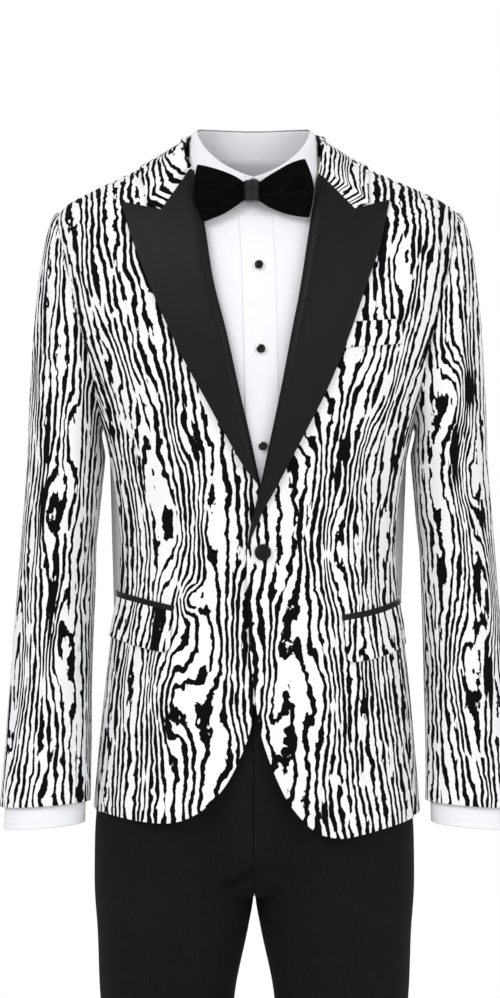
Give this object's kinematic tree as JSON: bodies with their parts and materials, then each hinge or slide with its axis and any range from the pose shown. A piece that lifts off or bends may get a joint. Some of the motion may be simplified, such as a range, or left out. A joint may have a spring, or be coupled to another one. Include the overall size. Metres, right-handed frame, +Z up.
{
  "type": "tuxedo",
  "caption": "Man's tuxedo set: jacket in black-on-white wood-grain print with black satin peak lapels, white dress shirt, black bow tie and black trousers",
  "frame": {"origin": "inside the base of the neck, at the height of the shoulder line, where the wearer's shoulders carry the jacket; the front faces -Y and the wearer's left is +X", "axes": "+Z up through the neck, -Y to the wearer's front, +X to the wearer's left"},
  "size_m": [0.5572, 0.2443, 1.6187],
  "materials": {
    "print": "matte",
    "black_satin": "satin",
    "black_velvet": "matte",
    "black_wool": "matte",
    "white_cotton": "matte",
    "stud_black": "gloss"
  },
  "bodies": {
    "root": {"bow_band": "black_satin", "bow_knot": "black_satin", "bow_wing_left": "black_velvet", "bow_wing_right": "black_velvet", "breast_welt": "print", "collar_stand": "black_satin", "front_button": "black_satin", "jacket_back_left": "print", "jacket_back_right": "print", "jacket_front_left": "print", "jacket_front_right": "print", "jacket_side_left": "print", "jacket_side_right": "print", "lapel_left": "black_satin", "lapel_right": "black_satin", "pocket_flap_left": "print", "pocket_flap_right": "print", "pocket_jet_left": "black_satin", "pocket_jet_right": "black_satin", "shirt_back": "white_cotton", "shirt_collar_leaf": "white_cotton", "shirt_collar_stand": "white_cotton", "shirt_cuff_left": "white_cotton", "shirt_cuff_right": "white_cotton", "shirt_front_left": "white_cotton", "shirt_front_right": "white_cotton", "shirt_placket": "white_cotton", "shirt_sleeve_left": "white_cotton", "shirt_sleeve_right": "white_cotton", "shirt_yoke": "white_cotton", "sleeve_top_left": "print", "sleeve_top_right": "print", "sleeve_under_left": "print", "sleeve_under_right": "print", "stud_lower": "stud_black", "stud_middle": "stud_black", "stud_upper": "stud_black", "top_collar": "print", "trouser_back_left": "black_wool", "trouser_back_right": "black_wool", "trouser_front_left": "black_wool", "trouser_front_right": "black_wool", "trouser_waistband": "black_wool"}
  },
  "joints": []
}
